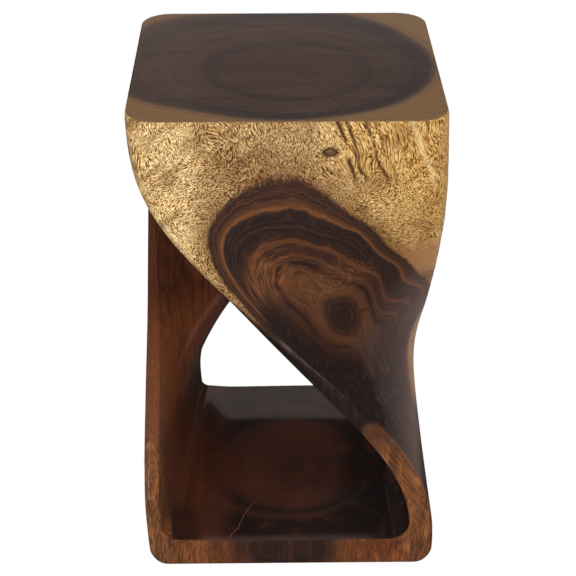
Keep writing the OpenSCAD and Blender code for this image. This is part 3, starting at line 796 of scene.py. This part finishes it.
def wood_material():
    m = Material("carved_wood")
    place = m.place()
    x, y, z = m.split(place)
    flat = m.add("ShaderNodeNewGeometry").outputs["True Normal"]
    rings, fine_drift, inside = drifted_rings(m, place, x, y, z, flat)
    at = m.math("DIVIDE", rings, RING_SPAN)
    # fine growth lines inside the broad bands, and streaks along the log
    wave = m.add("ShaderNodeTexNoise", noise_dimensions="1D")
    m.put(m.math("MULTIPLY", rings, 0.55), wave.inputs["W"])
    wave.inputs["Scale"].default_value = 1.0
    wave.inputs["Detail"].default_value = 3.0
    lines = wave.outputs[0]
    streak = m.noise(m.vec("MULTIPLY", place, (1, 1, 0.06)), 210, 3.0, 0.55)
    cloud = m.noise(m.vec("MULTIPLY", place, (1, 1, 0.7)), 34, 4.0, 0.6)
    lean = m.noise(m.vec("MULTIPLY", place, (1, 1, 0.9)), 24, 1.0, 0.5, colour=True)
    lean = m.vec("MULTIPLY", m.vec("SUBTRACT", lean, (0.5, 0.5, 0.5)), (0.034, 0.034, 0.016))
    leaning = m.vec("ADD", place, lean)

    heart = heartwood(m, place, x, y, z, rings, at, inside, lines, streak)
    dash = sapwood_strokes(m, place, leaning, x, y, z)
    sap = sapwood(m, place, x, y, z, rings, fine_drift, dash, cloud)

    # the edge of the heartwood is fringed
    fringe = m.math("SUBTRACT", m.noise(m.vec("MULTIPLY", leaning, (1, 1, 0.3)), 420, 2.0), 0.5)
    edge = m.math("MULTIPLY_ADD", fringe, 5.0, rings)
    low_down = m.span(z, 0.21, 0.16)
    colour = m.blend(m.span(edge, m.math("MULTIPLY_ADD", low_down, -5.0, HEART_R - 1.5),
                            m.math("MULTIPLY_ADD", low_down, 12.0, HEART_R + 3.0)), heart, sap)
    colour = marked(m, place, x, streak, colour)

    # faces across the log show its ends, but at its left the floor runs out into the wall
    up = m.math("ABSOLUTE", m.vec("DOT_PRODUCT", flat, (0, 0, 1)))
    runs_out = m.all(m.span(x, -0.086, -0.102), m.span(z, 0.06, 0.05))
    end_grain = m.all(m.span(up, 0.86, 0.97), m.math("SUBTRACT", 1.0, runs_out))
    colour = m.blend(end_grain, colour, end_wood(m, place, x, y, z, rings, at, lines, cloud))

    # gentle waves of the carving, none on the sanded ends
    carve = m.all(m.noise(place, 15, 1.0), m.math("SUBTRACT", 1.0, end_grain))
    waves = m.bump(carve, 0.3, 0.008)
    m.set(Base_Color=colour, Roughness=0.55, IOR=1.45, Specular_IOR_Level=0.08,
          Normal=m.bump(dash, 0.06, 0.0004, waves),
          Coat_Weight=0.8, Coat_Roughness=0.10, Coat_Normal=waves)
    return m.material


def filler_material():
    m = Material("wood_filler")
    place = m.place()
    grain = m.noise(place, 700, 3.0, 0.6)
    pale = m.ramp(grain, [(0.3, linear(118, 72, 44)), (0.7, linear(164, 108, 68))])
    grey = m.ramp(grain, [(0.3, linear(66, 50, 42)), (0.7, linear(92, 72, 58))])
    m.set(Base_Color=m.blend(m.span(m.split(place)[2], 0.2, 0.4), pale, grey), Roughness=0.5,
          Normal=m.bump(grain, 0.2, 0.0003), Coat_Weight=0.4, Coat_Roughness=0.25)
    return m.material


def nylon_material():
    m = Material("glide_nylon")
    grain = m.noise(m.place(), 2600, 3.0, 0.6)
    colour = m.ramp(grain, [(0.3, linear(34, 31, 29)), (0.7, linear(50, 47, 44))])
    m.set(Base_Color=colour, Roughness=0.62, Normal=m.bump(grain, 0.3, 0.0002))
    return m.material


def steel_material():
    m = Material("screw_steel")
    brushed = m.noise(m.vec("MULTIPLY", m.place(), (1, 1, 8)), 2400, 3.0, 0.6)
    colour = m.ramp(brushed, [(0.3, linear(158, 160, 164)), (0.7, linear(196, 198, 200))])
    m.set(Base_Color=colour, Roughness=0.34, Normal=m.bump(brushed, 0.2, 0.0001), Metallic=1.0)
    return m.material


def dress(piece, material):
    piece.data.materials.clear()
    piece.data.materials.append(material)


# World, lamps and floor
FLOOR_SIZE = 8000.0
WHITE = (1, 1, 1, 1)
# each lamp: place, aim, size, watts, and whether the gloss shows it
LAMPS = (("key", (-1.1, -1.9, 1.3), (0, 0, 0.3), (1.2, 1.2), 23.5, False),
         ("glint", (-0.75, -1.50, 0.30), (-0.14, -0.13, 0.12), (0.12, 0.56), 2.2, True),
         ("second_glint", (0.37, -1.54, 0.50), (-0.14, -0.13, 0.12), (0.14, 0.16), 1.0, True),
         ("fill", (1.7, -1.5, 0.9), (0, 0, 0.2), (1.0, 1.4), 18, False),
         ("top", (0.1, 0.3, 2.4), (0, 0, 0.3), (1.2, 1.2), 12, False))


def build_world():
    """White for the camera, plain light for the table, and a room that only its gloss reflects."""
    world = bpy.data.worlds.new("studio")
    bpy.context.scene.world = world
    world.use_nodes = True
    w = Nodes(world.node_tree)
    w.tree.nodes.clear()
    way = w.add("ShaderNodeTexCoord").outputs["Generated"]
    across, along, up = w.split(way)
    band = w.ramp(up, [
        (0.322, (0.38, 0.33, 0.31, 1)), (0.352, (0.20, 0.175, 0.165, 1)),
        (0.40, (0.18, 0.165, 0.155, 1)), (0.455, (0.50, 0.43, 0.41, 1)),
        (0.553, (0.50, 0.43, 0.41, 1)), (0.564, (0.03, 0.03, 0.03, 1))])
    # the room's wall is seen straight behind the table only
    behind = w.span(w.math("ABSOLUTE", across), 0.20, 0.32, 1.0, 0.1, smooth=False)
    backward = w.span(along, 0.2, 0.5, 0.1, 1.0, smooth=False)
    overhead = w.span(up, 0.78, 0.92, 0.0, 0.4, smooth=False)
    room = w.vec("ADD", w.vec("MULTIPLY", band, w.all(behind, backward)), overhead)
    path = w.add("ShaderNodeLightPath").outputs
    seen = w.shaders(path["Is Glossy Ray"], w.background(WHITE, 0.45), w.background(room, 1.0))
    seen = w.shaders(path["Is Camera Ray"], seen, w.background(WHITE, 1.0))
    w.put(seen, w.add("ShaderNodeOutputWorld").inputs["Surface"])


def area_lamp(name, place, aim, size, watts, glossy):
    lamp = bpy.data.lights.new(name, "AREA")
    lamp.shape = "RECTANGLE"
    lamp.size, lamp.size_y = size
    lamp.energy = watts
    piece = bpy.data.objects.new(name, lamp)
    bpy.context.scene.collection.objects.link(piece)
    piece.location = place
    piece.rotation_euler = (Vector(aim) - Vector(place)).to_track_quat("-Z", "Y").to_euler()
    piece.visible_glossy = glossy


def build_floor():
    """A white floor that keeps the shadow. What the gloss sees of it is dark, with a warm patch."""
    points = [(x * FLOOR_SIZE / 2, y * FLOOR_SIZE / 2, 0)
              for x, y in ((-1, -1), (1, -1), (1, 1), (-1, 1))]
    floor = mesh("floor", points, [(0, 1, 2, 3)], smooth=False)
    m = Material("floor_white")
    path = m.add("ShaderNodeLightPath").outputs
    place = m.place()
    x, y, _ = m.split(place)
    beyond = m.math("MULTIPLY_ADD", y, 0.5, x)
    warm = m.all(m.span(beyond, 0.15, 0.35), m.span(y, -0.12, 0.12), m.span(x, 0.10, 0.14))
    mirrored = m.blend(warm, (0.03, 0.03, 0.03, 1), (0.42, 0.295, 0.265, 1))
    colour = m.blend(path["Is Glossy Ray"], (0.85, 0.85, 0.85, 1), mirrored)
    m.set(Base_Color=colour, Roughness=0.9)
    # a bright spot in front of the foot, which only its gloss sees
    off = m.vec("LENGTH", m.vec("SUBTRACT", place, (-0.343, -0.587, 0)))
    lit = m.all(path["Is Glossy Ray"], m.span(off, 0.13, 0.07))
    glow = m.add("ShaderNodeEmission")
    m.put(m.math("MULTIPLY_ADD", lit, 5.0, 1.02), glow.inputs["Strength"])
    share = m.any(m.all(path["Is Camera Ray"], 0.96), lit)
    m.put(m.shaders(share, m.shader.outputs[0], glow.outputs[0]),
          m.tree.nodes["Material Output"].inputs["Surface"])
    dress(floor, m.material)


# Build the pieces
wood, filler = wood_material(), filler_material()
table = carved_table()
dress(table, wood)
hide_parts("carved_body")
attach(table, "root")

cracks = {
    "side_crack_filler": ribbon(
        "side_crack", [(-147, -8), (-120, -7.4), (-80, -8)], 0.7, BODY_H),
    "slant_crack_filler": ribbon(
        "slant_crack", [(52, -127), (44, -108), (31, -74)], 0.6, BODY_H),
    "base_crack_filler": ribbon(
        "base_crack", [(-64, -145.5), (-62, -136), (-56, -128), (-51, -108), (-45, -92),
                       (-34, -73)], 0.9, BASE_T),
}
for node, piece in cracks.items():
    dress(piece, filler)
    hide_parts(node)
    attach(piece, "root")

nylon, steel = nylon_material(), steel_material()
for name, piece in nodes.items():
    if name.startswith("glide_"):
        dress(piece, nylon)
    elif name.startswith("screw_"):
        dress(piece, steel)

# Light them
build_world()
build_floor()
for lamp in LAMPS:
    area_lamp(*lamp)

# The photograph's camera: its angles, its lens in mm, and how far it stands off in metres
PITCH, YAW, LENS = math.radians(28.951), math.radians(-0.784), 99.04
AWAY, ABOVE, ASIDE = 1.4809, 1.0724, 0.0023
camera_data = bpy.data.cameras.new("camera")
camera = bpy.data.objects.new("camera", camera_data)
bpy.context.scene.collection.objects.link(camera)
bpy.context.scene.camera = camera
camera_data.lens = LENS
camera_data.sensor_width = 36
camera.location = (ASIDE * math.cos(YAW) + AWAY * math.sin(YAW),
                   ASIDE * math.sin(YAW) - AWAY * math.cos(YAW), ABOVE + LIFT / 1000)
camera.rotation_euler = (math.pi / 2 - PITCH, 0, YAW)

bpy.context.scene.view_settings.view_transform = "Standard"
